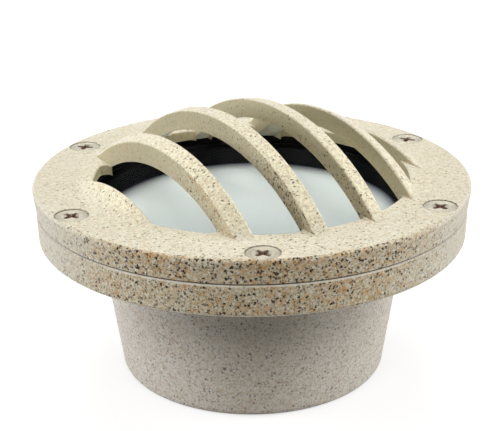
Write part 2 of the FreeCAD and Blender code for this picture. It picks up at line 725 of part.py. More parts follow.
def gland_nut():
    """Domed nut that squeezes the seal on the cable."""
    nose_y = NUT_Y + NUT_GRIP_L - 0.1
    grip = hexagon(GLAND_HEX - 1.5, (0, NUT_Y, GLAND_Z), (0, NUT_Y + NUT_GRIP_L, GLAND_Z))
    nose = Part.makeCone(9.9, 7.2, GLAND_TIP_Y - nose_y, V(0, nose_y, GLAND_Z), ALONG_Y)
    nut = grip.fuse(nose)
    nut = nut.cut(along_y(SLEEVE_R + 0.1, NUT_Y - 1, NUT_Y + SLEEVE_L + 0.6))
    nut = nut.cut(along_y(SEAL_R + 0.1, NUT_Y + SLEEVE_L, NUT_Y + 10.6))
    return nut.cut(along_y(GLAND_BORE_R, NUT_Y, GLAND_TIP_Y + 1))


def gland_locknut():
    low = PAD_INNER_Y - LOCKNUT_T
    nut = hexagon(GLAND_HEX, (0, low, GLAND_Z), (0, PAD_INNER_Y, GLAND_Z))
    return nut.cut(along_y(GLAND_THREAD_R, low - 1, PAD_INNER_Y + 1))


PIECES = [
    cover_grille, cover_screws, screw_retainers, housing, housing_flange, lens_glass, lens_gasket,
    diffuser, bezel_ring, lamp_reflector, lamp_front_glass, lamp_burner, lamp_filament, lamp_cap, lamp_pins,
    lamp_socket, socket_rivets, gimbal_ring, lamp_clip, pivot_screws, pivot_nuts, pivot_washers,
    yoke_bracket, yoke_screws, terminal_block, terminal_tubes, terminal_screws, block_screw,
    lamp_leads, gland_washer, gland_body, gland_seal, gland_nut, gland_locknut,
]

os.makedirs("parts", exist_ok=True)
for make in PIECES:
    save(make.__name__, make())
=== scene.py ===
"""A small in-ground well light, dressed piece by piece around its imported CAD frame.

Lengths are in millimetres, and in metres where a name ends in M; Blender gets metres.
"""
import math

import bpy
from mathutils import Matrix, Vector
from mathutils.geometry import interpolate_bezier


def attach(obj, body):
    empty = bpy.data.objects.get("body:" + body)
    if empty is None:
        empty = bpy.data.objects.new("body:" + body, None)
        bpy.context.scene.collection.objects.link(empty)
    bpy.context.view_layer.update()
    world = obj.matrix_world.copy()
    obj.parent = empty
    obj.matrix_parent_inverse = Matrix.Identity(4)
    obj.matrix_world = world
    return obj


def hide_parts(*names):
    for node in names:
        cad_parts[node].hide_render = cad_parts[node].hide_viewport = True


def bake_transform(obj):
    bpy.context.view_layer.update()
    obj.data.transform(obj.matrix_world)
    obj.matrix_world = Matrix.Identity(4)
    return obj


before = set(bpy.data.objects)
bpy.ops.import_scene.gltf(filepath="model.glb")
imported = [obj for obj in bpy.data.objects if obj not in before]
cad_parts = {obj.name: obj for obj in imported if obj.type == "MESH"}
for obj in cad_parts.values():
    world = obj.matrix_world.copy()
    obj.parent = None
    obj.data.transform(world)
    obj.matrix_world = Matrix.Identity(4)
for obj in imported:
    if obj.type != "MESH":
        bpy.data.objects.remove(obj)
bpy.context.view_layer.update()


# ---- Camera --------------------------------------------------------------------------------
# A long studio lens looks down at the light from its front left, at about 22 degrees, and
# is rolled by a hair so that the right side of the rim stands higher.

CAMERA_AT_M = Vector((-0.2538, -0.3954, 0.2437))
LOOKS_ALONG = Vector((0.4963, 0.7859, -0.3689))
LEVEL_RIGHT = Vector((0.8455, -0.5339, 0.0))
ROLL = 0.01117
FOCAL_LENGTH = 100.96
SENSOR_W = 36.0
NEAREST_M = 0.01

camera = bpy.data.objects.new("camera", bpy.data.cameras.new("camera"))
camera.data.lens = FOCAL_LENGTH
camera.data.sensor_width = SENSOR_W
camera.data.clip_start = NEAREST_M
bpy.context.scene.collection.objects.link(camera)
bpy.context.scene.camera = camera

level_up = LEVEL_RIGHT.cross(LOOKS_ALONG)
rolled_right = LEVEL_RIGHT * math.cos(ROLL) - level_up * math.sin(ROLL)
rolled_up = level_up * math.cos(ROLL) + LEVEL_RIGHT * math.sin(ROLL)
camera.matrix_world = (Matrix.Translation(CAMERA_AT_M)
                       @ Matrix((rolled_right, rolled_up, -LOOKS_ALONG)).transposed().to_4x4())


# ---- Housing -------------------------------------------------------------------------------
# The tapered bowl and its wide flange are one aluminium casting. Outside it has a matt
# stone-speckle powder coat: cream, with mottles, rust and ochre spots and dark grit. Inside
# it is left as cast, with a little overspray on the rim. A painted shadow darkens the front of the bowl
# below the flange.

class Wire:
    """What comes out of a node's socket. Arithmetic on it adds Math nodes."""

    def __init__(self, finish, socket):
        self.finish = finish
        self.socket = socket

    def maths(self, operation, *others):
        return self.finish.node("ShaderNodeMath", {"operation": operation},
                                dict(enumerate((self, *others))))

    def __add__(self, other):
        return self.maths("ADD", other)

    def __sub__(self, other):
        return self.maths("SUBTRACT", other)

    def __rsub__(self, other):
        return self.finish.node("ShaderNodeMath", {"operation": "SUBTRACT"}, {0: other, 1: self})

    def __mul__(self, other):
        return self.maths("MULTIPLY", other)

    def __lt__(self, other):
        return self.maths("LESS_THAN", other)

    __radd__ = __add__
    __rmul__ = __mul__


class Finish:
    """The material of one kind of surface. place is the point on the object, in mm."""

    def __init__(self, name):
        self.material = bpy.data.materials.new(name)
        self.material.use_nodes = True
        self.tree = self.material.node_tree
        self.tree.nodes.clear()
        where = self.node("ShaderNodeTexCoord", output="Object")
        self.place = self.node("ShaderNodeVectorMath", {"operation": "SCALE"},
                               {0: where, "Scale": 1000.0})

    def node(self, kind, settings=None, inputs=None, output=0):
        """Adds any node: its settings, then the values or wires of its sockets."""
        added = self.tree.nodes.new(kind)
        for name, value in (settings or {}).items():
            setattr(added, name, value)
        for name, value in (inputs or {}).items():
            if isinstance(value, Wire):
                self.tree.links.new(value.socket, added.inputs[name])
            else:
                added.inputs[name].default_value = value
        if isinstance(output, tuple):
            return [Wire(self, added.outputs[name]) for name in output]
        return Wire(self, added.outputs[output]) if added.outputs else None

    def axes(self):
        return self.node("ShaderNodeSeparateXYZ", {}, {0: self.place}, output=(0, 1, 2))

    def noise(self, size, detail=2.0, at=None):
        """Cloudy value about 0.5 whose blotches are about size mm across."""
        return self.node("ShaderNodeTexNoise", {},
                         {"Vector": at or self.place, "Scale": 1 / size, "Detail": detail})

    def ramp(self, value, start, end):
        """0 up to start, 1 from end on and even between them. end may be the lower one."""
        return self.node("ShaderNodeMapRange", {"clamp": True},
                         {"Value": value, "From Min": start, "From Max": end})

    def mix(self, first, second, factor):
        """One colour over another."""
        return self.node("ShaderNodeMix", {"data_type": "RGBA"},
                         {0: factor, 6: first, 7: second}, output=2)

    def bump(self, height, depth):
        """Normal of a surface whose height differs by depth mm."""
        return self.node("ShaderNodeBump", {}, {"Distance": depth / 1000, "Height": height})

    def surface(self, sockets):
        self.show(self.node("ShaderNodeBsdfPrincipled", {}, sockets))

    def show(self, shader):
        self.node("ShaderNodeOutputMaterial", {}, {"Surface": shader})


def paint(red, green, blue):
    """A colour written as it shows on a screen, from 0 to 255."""
    def linear(level):
        share = level / 255
        return share / 12.92 if share <= 0.04045 else ((share + 0.055) / 1.055) ** 2.4
    return linear(red), linear(green), linear(blue), 1.0


def dress(finish, *nodes):
    """Gives carried-over CAD nodes a finish."""
    for name in nodes:
        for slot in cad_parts[name].material_slots:
            slot.material = finish.material


def from_middle(x, y):
    """A point's distance from the light's axis."""
    return (x * x + y * y).maths("SQRT")


def further_back(x, y):
    """How far behind the light's axis a point lies, seen from the front left."""
    return BACK_X * x + BACK_Y * y


def specks(finish, at, spacing, size, share):
    """Mask of irregular spots, one in a share of the cells that lie spacing apart. size is
    their radius, from about half of it to one and a half times."""
    soft = 0.12
    distance, luck = finish.node("ShaderNodeTexVoronoi", {}, {"Vector": at, "Scale": 1 / spacing},
                                 output=("Distance", "Color"))
    chance, width = finish.node("ShaderNodeSeparateColor", {}, {0: luck}, output=(0, 1))
    reach = size * (0.55 + width) - distance * spacing
    return finish.ramp(reach, -soft, soft) * (chance < share)


BACK_X = 0.534
BACK_Y = 0.845
FLANGE_SIDE_R = 78.3
FLANGE_EDGE_R = FLANGE_SIDE_R - 1.1
FLANGE_Z = 53.0
SEAM_Z = 64.5
SLOTS_FROM_Z = 66.0
BARS_END_R = 64.5
BAR_FOOT_Z = 73.8
BAR_RISE = 3.2
BOWL_END_R = 62.0
BOWL_INSIDE_R = 45.9
BOWL_FLARE = 0.1443
INSIDE_FROM_Z = 4.0
# where the painted shadow under the flange starts and where it is full
FLANGE_SHADOW_FROM_Z = 13.0
FLANGE_SHADOW_FULL_Z = 40.0
COAT_RELIEF = 0.09

# Where a mask starts and where it is full, along the line from the front to the back.
FRONT_SPAN = (-12.0, -39.0)
SLOT_SHIFT = 28.0
NEAR_SPAN = (60.0, -70.0)
BACK_SPAN = (40.0, 67.0)
BAR_FRONT_SPAN = (5.0, -35.0)
FLANGE_SHADOW_SPAN = (-20.0, -55.0)

CREAM = paint(231, 226, 205)
SAND = paint(202, 187, 152)
BAR_CREAM = paint(249, 242, 212)
BLUSH = paint(243, 236, 226)
# painted sheen on the flange's side
SIDE_SHEEN_GREY = paint(226, 221, 206)
OCHRE = paint(203, 162, 100)
RUST = paint(180, 112, 66)
UMBER = paint(124, 104, 80)
GRIT = paint(34, 24, 17)
# painted highlight on the flange's edges
EDGE_HIGHLIGHT = paint(248, 242, 226)
# painted shade on the walls of the slots
SLOT_WALL_SHADE = paint(193, 184, 148)
# painted shade: a dark brown mixed in where shadow falls
PAINTED_SHADE = paint(46, 38, 32)
AS_CAST = paint(168, 168, 166)


def stone_coat(name):
    """The speckle coat. It lies thickest on the flange's side, at the front and the back, and
    on the front ends of the bars, and thin on the bowl."""
    coat = Finish(name)
    x, y, z = coat.axes()
    radius = from_middle(x, y)
    behind = further_back(x, y)

    # Masks of the places that have a coat of their own, or painted shade or sheen.
    facing = coat.node("ShaderNodeTexCoord", output="Normal")
    up = coat.node("ShaderNodeSeparateXYZ", {}, {0: facing}, output=(2,))[0].maths("ABSOLUTE")
    slots = (coat.ramp(z, SLOTS_FROM_Z, SLOTS_FROM_Z + 0.5) * coat.ramp(BARS_END_R - radius, -0.2, 0.4)
             * (1 - coat.ramp(up, 0.30, 0.62)))
    rim = coat.ramp(radius, FLANGE_SIDE_R - 0.4, FLANGE_SIDE_R + 0.2)
    back = rim * coat.ramp(behind, *BACK_SPAN)
    front = coat.ramp(behind + SLOT_SHIFT * (1 - slots), *FRONT_SPAN).maths("MAXIMUM", back)
    near = coat.ramp(behind, *NEAR_SPAN).maths("MAXIMUM", back)
    side = rim.maths("MAXIMUM", 0.50 * slots * front)
    bowl = coat.ramp(FLANGE_Z - z, -0.3, 0.3) * coat.ramp(BOWL_END_R - radius, -1, 1)
    cover_side = side * front * coat.ramp(z, SEAM_Z - 0.1, SEAM_Z + 0.1)
    bars = coat.ramp(z, BAR_FOOT_Z, BAR_FOOT_Z + BAR_RISE) * coat.ramp(behind, *BAR_FRONT_SPAN)
    places = {"near": near, "side": side, "side_front": side * front, "cover_side": cover_side,
              "slots": slots, "bowl": bowl, "bars": bars}

    def amount(plain, **more):
        """A value on the plain ring, and what each place adds to it."""
        for place, gain in more.items():
            plain = plain + gain * places[place]
        return plain

    # Cloudy mottles, then three sizes of specks with stirred outlines.
    grain = coat.noise(0.42, 3.0)
    drift = coat.noise(11.0)
    stir = coat.node("ShaderNodeTexNoise", {}, {"Vector": coat.place, "Scale": 1.7}, output="Color")
    at = coat.node("ShaderNodeVectorMath", {"operation": "MULTIPLY_ADD"},
                   {0: stir, 1: (1.5, 1.5, 1.5), 2: coat.place})
    sand = coat.ramp(coat.noise(1.0, 3.0) + 0.5 * grain + 0.05 * side, 0.69, 0.84)
    ochre = coat.ramp(coat.noise(1.5, 4.0) + side * (0.10 * front - 0.02) + 0.26 * drift, 0.69, 0.91)
    rust = coat.ramp(coat.noise(1.0, 3.0, at) + side * (0.07 * front - 0.02) + 0.24 * drift, 0.77, 0.86)
    umber = specks(coat, at, spacing=0.75, size=0.20,
                   share=amount(0.34, slots=0.30, side_front=0.44, bowl=0.10))
    grit = specks(coat, at, spacing=1.2, size=amount(0.27, side=0.04, cover_side=0.05),
                  share=amount(0.14, near=0.32, side=-0.14, side_front=0.40, bars=0.12))
    chips = specks(coat, at, spacing=1.6, size=amount(0.34, cover_side=0.06),
                   share=amount(0.01, near=0.02, side_front=0.56, bowl=0.07, bars=0.12))
    # Painted highlight: thin pale lines on the flange's top and lower edges, at the front.
    highlight_edges = coat.ramp(z, SEAM_Z - 0.6, SEAM_Z - 0.4) * coat.ramp(SEAM_Z + 0.05 - z, 0.0, 0.05)
    highlight_edges = highlight_edges + coat.ramp(FLANGE_Z + 0.9 - z, 0.0, 0.4) * coat.ramp(z, FLANGE_Z - 0.1, FLANGE_Z)

    colour = CREAM
    for layer, strength in (
            (BLUSH, 0.8 * bowl),
            (BAR_CREAM, bars),
            # painted shade: the slot walls darker and more olive, least at the front
            (SLOT_WALL_SHADE, (0.90 - 0.35 * front) * slots),
            # painted sheen: the flange's side greyer and cooler away from the front
            (SIDE_SHEEN_GREY, side * (0.80 - 0.65 * front) * (1 - slots)),
            (SAND, sand * amount(0.52, side=-0.12, side_front=0.48, bowl=-0.10)),
            (UMBER, 0.42 * bowl * coat.ramp(grain, 0.52, 0.72)),
            (OCHRE, ochre * amount(0.40, near=0.15, side=-0.10, side_front=0.50)),
            (RUST, rust * amount(0.40, near=0.15, side=-0.10, side_front=0.45)),
            (UMBER, umber * amount(0.27, near=0.34, side=-0.04, side_front=0.28, bowl=0.15)),
            (GRIT, grit * amount(0.32, near=0.54, side=-0.34, side_front=0.44, bowl=-0.10, bars=0.15)),
            (GRIT, chips * amount(0.35, near=0.50, side_front=0.15, bowl=-0.10)),
            # painted highlight on the flange's edges
            (EDGE_HIGHLIGHT, 0.75 * highlight_edges * front * coat.ramp(radius, FLANGE_EDGE_R, FLANGE_EDGE_R + 0.4))):
        colour = coat.mix(colour, layer, strength)
    orange_peel = coat.noise(0.6, 3.0) + 0.4 * grit - 0.4 * umber
    return coat, colour, orange_peel, (x, y, z, radius, behind)


coat, colour, orange_peel, (_, _, z, radius, behind) = stone_coat("stone_coat")
inside = (coat.ramp(BOWL_INSIDE_R + BOWL_FLARE * z - radius, -0.1, 0.3)
          * coat.ramp(z, INSIDE_FROM_Z, INSIDE_FROM_Z + 0.2))
cast_grain = coat.noise(0.5, 4.0)
overspray = coat.ramp(z + 14 * coat.noise(6.0, 3.0), FLANGE_Z - 1, SEAM_Z + 1.5)
bare = inside * (1 - 0.8 * overspray)
# Painted shadow of the flange: the bowl's front grows darker upwards towards the flange.
painted_flange_shadow = (coat.ramp(z + 5 * coat.noise(9.0), FLANGE_SHADOW_FROM_Z, FLANGE_SHADOW_FULL_Z).maths("POWER", 1.6)
                * coat.ramp(BOWL_END_R + 1 - radius, -1, 1) * coat.ramp(behind, *FLANGE_SHADOW_SPAN))
colour = coat.mix(colour, PAINTED_SHADE, 0.42 * painted_flange_shadow)
colour = coat.mix(colour, AS_CAST, bare)
coat.surface({
    "Base Color": colour,
    "Metallic": 0.85 * bare,
    "Roughness": 0.74 - 0.22 * bare + 0.1 * cast_grain,
    "Specular IOR Level": 0.35,
    "Normal": coat.bump(orange_peel + bare * cast_grain, COAT_RELIEF),
})
dress(coat, "housing", "housing_flange")


# ---- Cover ---------------------------------------------------------------------------------
# The flat ring, the dome and its four bars are a second casting with the same coat, painted
# darker on the walls of the slots as painted shade. A painted shadow darkens the seam below
# and the rims round the screw heads.

SCREW_CIRCLE = 73.0
SINK_R = 5.9
# where the painted shadow along the seam lies
SEAM_SHADOW_R = 76.0
SEAM_SHADOW_H = 0.75

cover_coat, colour, orange_peel, (x, y, z, radius, behind) = stone_coat("stone_coat_cover")
# Painted shadow: the seam and the gap round each screw head are darkened, less towards the back.
seam = (cover_coat.ramp(SEAM_Z + SEAM_SHADOW_H - z, 0.0, 0.25)
        * cover_coat.ramp(radius, SEAM_SHADOW_R, SEAM_SHADOW_R + 1))
to_screw = y.maths("ARCTAN2", x).maths("PINGPONG", math.pi / 6).maths("COSINE")
from_screw = (radius * (radius - 2 * SCREW_CIRCLE * to_screw) + SCREW_CIRCLE ** 2).maths("SQRT")
sink_rim = cover_coat.ramp(SINK_R + 0.3 - from_screw, 0.0, 0.2)
closer = cover_coat.ramp(behind, 70.0, -60.0)
colour = cover_coat.mix(colour, PAINTED_SHADE, closer * (0.85 * seam).maths("MAXIMUM", 0.35 * sink_rim))
cover_coat.surface({
    "Base Color": colour,
    "Roughness": 0.76,
    "Specular IOR Level": 0.35,
    "Normal": cover_coat.bump(orange_peel, COAT_RELIEF),
})
dress(cover_coat, "cover_grille")


# ---- Cover screws --------------------------------------------------------------------------
# Six M6 countersunk screws of satin stainless steel, turned, with a cross recess pressed
# into each head and a rolled thread. Brown grime sits in the recesses and on the shanks.

RING_TOP = 73.5
HEAD_TOP = RING_TOP - 0.2
HEAD_R = 5.65
HEAD_DEPTH = 3.1
SHANK_R = 3.0
SCREW_TIP = RING_TOP - 16.3
TIP_BEVEL = 0.8
THREAD_TOP = 67.0
THREAD_PITCH = 1.0
THREAD_DEPTH = 0.55
RECESS_DEPTH = 2.6
RECESS_R = 3.3
RECESS_TURNS = (31, 57, 12, 20, 43, 64)
SHARP_EDGE = math.radians(38)


def circle(radius, height, count=48):
    """A ring of points about the Z axis. radius may be a function of the angle."""
    points = []
    for k in range(count):
        angle = 2 * math.pi * k / count
        reach = radius(angle) if callable(radius) else radius
        points.append((reach * math.cos(angle), reach * math.sin(angle), height))
    return points


def soften(mesh):
    """Shades a mesh smooth, except across its sharp edges."""
    mesh.shade_smooth()
    mesh.set_sharp_from_angle(angle=SHARP_EDGE)


def skin(name, rings, looped=False):
    """A closed mesh stretched over rings of equally many points. It is capped at both ends,
    or its last ring joins its first."""
    count = len(rings[0])
    points = [Vector(point) / 1000 for ring in rings for point in ring]
    pairs = [(k, k + 1) for k in range(len(rings) - 1)]
    if looped:
        pairs.append((len(rings) - 1, 0))
    faces = []
    for low, high in pairs:
        for k in range(count):
            after = (k + 1) % count
            faces.append((low * count + k, low * count + after,
                          high * count + after, high * count + k))
    if not looped:
        faces.append(tuple(reversed(range(count))))
        faces.append(tuple(range(len(points) - count, len(points))))
    mesh = bpy.data.meshes.new(name)
    mesh.from_pydata(points, [], faces)
    mesh.validate()
    soften(mesh)
    piece = bpy.data.objects.new(name, mesh)
    bpy.context.scene.collection.objects.link(piece)
    return piece


def thread(low, high, crest, rows_per_turn=8):
    """Rings of a screw thread whose grooves fade out at both ends."""
    rings = []
    rows = round((high - low) / THREAD_PITCH * rows_per_turn)
    for row in range(rows + 1):
        height = low + (high - low) * row / rows
        fade = min(1.0, (height - low) / THREAD_PITCH, (high - height) / THREAD_PITCH)

        def reach(angle, height=height, fade=fade):
            turn = (height / THREAD_PITCH - angle / (2 * math.pi)) % 1.0
            groove = max(0.0, 1 - abs(2 * turn - 1) * 1.25)
            return crest - THREAD_DEPTH * groove * fade - 0.25 * THREAD_DEPTH * (1 - fade)
        rings.append(circle(reach, height))
    return rings


def cross_recess(turn):
    """Cutter for a cross recess: four wings that taper downwards about a round core. A level
    is its depth, then the wings' reach, half width and root, as shares of the whole."""
    rings = []
    for drop, reach, half, root in ((1.0, 0.30, 0.12, 0.15), (0.55, 0.66, 0.20, 0.27),
                                    (0.0, 0.98, 0.22, 0.30), (-0.2, 1.0, 0.23, 0.31)):
        ring = []
        for wing in range(4):
            angle = wing * math.pi / 2 + turn
            for along, across in ((reach * 0.96, -half), (reach, 0), (reach * 0.96, half),
                                  (root, root)):
                ring.append((RECESS_R * (along * math.cos(angle) - across * math.sin(angle)),
                             RECESS_R * (along * math.sin(angle) + across * math.cos(angle)),
                             HEAD_TOP - drop * RECESS_DEPTH))
        rings.append(ring)
    return skin("recess", rings)


def cut(piece, cutter):
    """Takes the cutter's shape out of the piece, and the cutter away."""
    modifier = piece.modifiers.new("cut", "BOOLEAN")
    modifier.operation = "DIFFERENCE"
    modifier.solver = "EXACT"
    modifier.object = cutter
    bpy.context.view_layer.update()
    shape = piece.evaluated_get(bpy.context.evaluated_depsgraph_get())
    mesh = bpy.data.meshes.new_from_object(shape)
    piece.modifiers.clear()
    piece.data = mesh
    bpy.data.objects.remove(cutter)
    soften(mesh)


def joined(name, pieces):
    """One object out of several, in the first one's place."""
    bpy.ops.object.select_all(action="DESELECT")
    for piece in pieces:
        piece.select_set(True)
    bpy.context.view_layer.objects.active = pieces[0]
    bpy.ops.object.join()
    pieces[0].name = pieces[0].data.name = name
    return pieces[0]


def from_axis(piece):
    """Stores each point's distance from the Z axis, before the piece is moved."""
    layer = piece.data.attributes.new("from_axis", "FLOAT", "POINT")
    for point, vertex in zip(layer.data, piece.data.vertices):
        point.value = 1000 * math.hypot(vertex.co.x, vertex.co.y)


screw_head = [
    (SHANK_R - 0.1, THREAD_TOP + 0.2), (SHANK_R - 0.1, HEAD_TOP - HEAD_DEPTH),
    (HEAD_R - 0.12, HEAD_TOP - 0.56), (HEAD_R, HEAD_TOP - 0.42), (HEAD_R, HEAD_TOP - 0.22),
    (HEAD_R - 0.07, HEAD_TOP - 0.07), (HEAD_R - 0.24, HEAD_TOP), (RECESS_R + 0.3, HEAD_TOP)]
screws = []
for k, degrees in enumerate(RECESS_TURNS):
    rings = thread(SCREW_TIP, THREAD_TOP, SHANK_R)
    rings[0] = circle(SHANK_R - TIP_BEVEL, SCREW_TIP)
    rings += [circle(reach, height) for reach, height in screw_head]
    screw = skin("cover_screw", rings)
    cut(screw, cross_recess(math.radians(degrees)))
    from_axis(screw)
    screw.data.transform(Matrix.Rotation(math.pi / 3 * k, 4, "Z")
                         @ Matrix.Translation((SCREW_CIRCLE / 1000, 0, 0)))
    screws.append(screw)
cover_screws = joined("cover_screws_turned", screws)

stainless = Finish("stainless")
across = stainless.node("ShaderNodeAttribute", {"attribute_name": "from_axis"}, output="Fac")
turning_marks = (across * 55 + 6 * stainless.noise(1.2)).maths("SINE")
haze = stainless.noise(1.5, 4.0)
z = stainless.axes()[2]
sunk = stainless.ramp(HEAD_TOP - z, 0.10, 0.8) * stainless.ramp(RECESS_R + 0.4 - across, -0.2, 0.2)
spots = stainless.ramp(stainless.noise(0.6, 3.0), 0.58, 0.70)
rubbed = stainless.ramp(stainless.noise(0.8, 2.0), 0.52, 0.60)
grime = (sunk * (1 - 0.85 * rubbed) + 0.25 * spots).maths("MINIMUM", 1.0)
stainless.surface({
    "Base Color": stainless.mix(paint(163, 158, 142), paint(122, 82, 56), grime),
    "Metallic": 0.9 - 0.7 * grime,
    "Roughness": 0.36 + 0.10 * haze + 0.25 * grime,
    "Normal": stainless.bump(turning_marks + 2 * haze, 0.012),
})
cover_screws.data.materials.clear()
cover_screws.data.materials.append(stainless.material)
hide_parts("cover_screws")
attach(cover_screws, "cover")


# ---- Screw retainers -----------------------------------------------------------------------
# Natural nylon washers pushed on the screws below the cover, so that they stay with it. The
# same nylon makes the washers of the lamp's pivots and, glass filled, the terminal block.

def moulded(name, colour, shade, gloss, grain=0.8, shine=0.45):
    """Moulded plastic: a fine spark-eroded grain with slow waves in its colour and gloss."""
    plastic = Finish(name)
    wave = plastic.noise(7.0)
    fine = plastic.noise(0.18, 3.0)
    plastic.surface({
        "Base Color": plastic.mix(colour, shade, plastic.ramp(wave + 0.3 * fine, 0.4, 0.9)),
        "Roughness": gloss + 0.12 * wave,
        "Specular IOR Level": shine,
        "Normal": plastic.bump(fine, 0.03 * grain),
    })
    return plastic


nylon = moulded("white_nylon", paint(226, 222, 208), paint(205, 200, 184), gloss=0.46)
dress(nylon, "screw_retainers", "pivot_washers", "terminal_block")


# ---- Lens ----------------------------------------------------------------------------------
# A 4 mm disc of clear toughened glass with ground edges, held in a black silicone channel
# that seals it between the cover's lip and the bowl's ledge. Dust is caught in the rubber.

PANE_INDEX = 1.02   # low on purpose: the pane mirrors next to nothing over the dark bezel


def see_through(glass, tint, roughness, index, shadow):
    """Clear glass that lets lamp light pass, with a faint shadow of its own colour."""
    clear = glass.node("ShaderNodeBsdfPrincipled", {}, {
        "Base Color": (*tint, 1.0), "Roughness": roughness, "Transmission Weight": 1.0, "IOR": index})
    open_to_lamps = glass.node("ShaderNodeBsdfTransparent", {}, {"Color": (*shadow, 1.0)})
    shadow_ray = glass.node("ShaderNodeLightPath", output="Is Shadow Ray")
    glass.show(glass.node("ShaderNodeMixShader", {}, {0: shadow_ray, 1: clear, 2: open_to_lamps}))


glass = Finish("clear_glass")
smear = glass.ramp(glass.noise(22.0, 4.0), 0.52, 0.8)
see_through(glass, (0.975, 0.985, 0.98), 0.008 + 0.03 * smear, PANE_INDEX, (0.93, 0.96, 0.955))
dress(glass, "lens_glass")

seal_rubber = Finish("black_rubber")
dust = seal_rubber.ramp(seal_rubber.noise(0.9, 4.0), 0.55, 0.75)
worn = seal_rubber.mix(paint(24, 24, 25), paint(38, 38, 40), seal_rubber.noise(5.0))
seal_rubber.surface({
    "Base Color": seal_rubber.mix(worn, paint(96, 94, 90), 0.25 * dust),
    "Roughness": 0.62 + 0.2 * dust,
    "Specular IOR Level": 0.15,
    "Normal": seal_rubber.bump(seal_rubber.noise(0.25, 3.0), 0.03),
})
dress(seal_rubber, "lens_gasket", "gland_washer", "gland_seal")


# ---- Diffuser and bezel --------------------------------------------------------------------
# A disc of satin-etched glass spreads the lamp's light. A black nylon bezel clips over its
# edge and hides the gap to the bowl. Painted shade and a painted reflection of the bezel darken
# the disc's colour towards its rim, and painted shade darkens it a little towards the front.

RIM_SHADE_FROM_R = 45.4
RIM_SHADE_FULL_R = 54.9

frost = Finish("frosted_glass")
x, y, _ = frost.axes()
# painted shade and reflection of the bezel: the colour darkens to navy towards the rim
rim_shade = frost.ramp(from_middle(x, y), RIM_SHADE_FROM_R, RIM_SHADE_FULL_R).maths("POWER", 2.4)
etched = frost.noise(0.35, 3.0)
# painted shade: the disc's pale colour darkens towards the front
pale_front_shaded = frost.mix(paint(194, 198, 196), paint(164, 173, 171),
                 frost.ramp(further_back(x, y) + 16 * frost.noise(30.0), 18.0, -34.0))
frost.surface({
    "Base Color": frost.mix(pale_front_shaded, paint(24, 28, 46), rim_shade),
    "Roughness": 0.5 + 0.1 * etched,
    "Specular IOR Level": 0.02,
    "Normal": frost.bump(etched, 0.01),
})
dress(frost, "diffuser")

black_nylon = moulded("black_plastic", paint(14, 14, 16), paint(22, 22, 25), gloss=0.6, shine=0.01)
dress(black_nylon, "bezel_ring")


# ---- Lamp ----------------------------------------------------------------------------------
# A 35 mm two-pin reflector lamp: a pressed glass reflector with rows of mirror facets, a
# quartz capsule with a coiled filament, a cemented front glass and a steatite cap.

LAMP_RIM_Z = 47.5
LAMP_RIM_R = 17.5
LAMP_NECK_Z = LAMP_RIM_Z - 21.0
LAMP_WALL = 1.2
LAMP_BORE_R = 5.8
MIRROR_SPREAD = 9.4
MIRROR_FOOT = 0.6
MIRROR_RISE = 17.6
MIRROR_TOP = 18.2
FACET_ROWS = 9
FACETS_ROUND = 24
FACET_DEPTH = 0.16
FINE = 96   # points round a turned or moulded part

reflector_outside = [
    (7.0, LAMP_NECK_Z), (8.9, LAMP_NECK_Z + 2.0), (11.0, LAMP_NECK_Z + 4.8),
    (13.0, LAMP_NECK_Z + 7.6), (14.6, LAMP_NECK_Z + 11.0), (15.8, LAMP_NECK_Z + 14.8),
    (16.4, LAMP_NECK_Z + 18.4), (16.4, LAMP_NECK_Z + 18.7),
    (LAMP_RIM_R - 0.3, LAMP_NECK_Z + 18.7), (LAMP_RIM_R, LAMP_NECK_Z + 19.0),
    (LAMP_RIM_R, LAMP_RIM_Z - 0.4), (LAMP_RIM_R - 0.4, LAMP_RIM_Z),
    (LAMP_RIM_R - LAMP_WALL + 0.2, LAMP_RIM_Z), (LAMP_RIM_R - LAMP_WALL, LAMP_RIM_Z - 0.2),
    (LAMP_RIM_R - LAMP_WALL, LAMP_RIM_Z - 1.9), (15.3, LAMP_RIM_Z - 1.9)]
rings = [circle(reach, height, FINE) for reach, height in reflector_outside]
for row in reversed(range(FACET_ROWS * 4 + 1)):
    share = row / (FACET_ROWS * 4)
    reach = LAMP_BORE_R + MIRROR_SPREAD * share ** 0.56
    height = LAMP_NECK_Z + MIRROR_FOOT + MIRROR_RISE * share
    level = (height - LAMP_NECK_Z) * FACET_ROWS / MIRROR_TOP

    def faceted(angle, reach=reach, level=level):
        across = 2 * abs((angle * FACETS_ROUND / (2 * math.pi) + 0.5 * int(level)) % 1.0 - 0.5)
        along = 2 * abs(level % 1.0 - 0.5)
        return reach - FACET_DEPTH * (across ** 2 + along ** 2)
    rings.append(circle(faceted, height, FINE))
rings.append(circle(LAMP_BORE_R, LAMP_NECK_Z, FINE))
reflector = skin("lamp_reflector_faceted", rings, looped=True)

mirror = Finish("mirror_coat")
mirror.surface({
    "Base Color": mirror.mix(paint(228, 230, 232), paint(206, 214, 232), mirror.noise(9.0)),
    "Metallic": 0.96,
    "Roughness": 0.09 + 0.08 * mirror.noise(2.0, 3.0),
    "Normal": mirror.bump(mirror.noise(0.5), 0.006),
})
reflector.data.materials.append(mirror.material)
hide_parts("lamp_reflector")
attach(reflector, "lamp")

QUARTZ_INDEX = 1.46

quartz = Finish("lamp_glass")
ripple = quartz.ramp(quartz.noise(3.0), 0.5, 0.8)
see_through(quartz, (0.97, 0.98, 0.985), 0.01 + 0.05 * ripple, QUARTZ_INDEX, (0.95, 0.96, 0.96))
dress(quartz, "lamp_front_glass", "lamp_burner")

FILAMENT_Z = LAMP_NECK_Z + 8.0
LEG_FOOT_Z = LAMP_NECK_Z + 3.9
LEG_TOP_Z = FILAMENT_Z - 1.0
COIL_R = 0.42
COIL_HALF = 1.6
COIL_TURNS = 11
COIL_STEPS = 12
FILAMENT_R = 0.08
OFF_WIRE = Vector((0.31, 0.87, 0.39))   # a direction that no wire here runs along


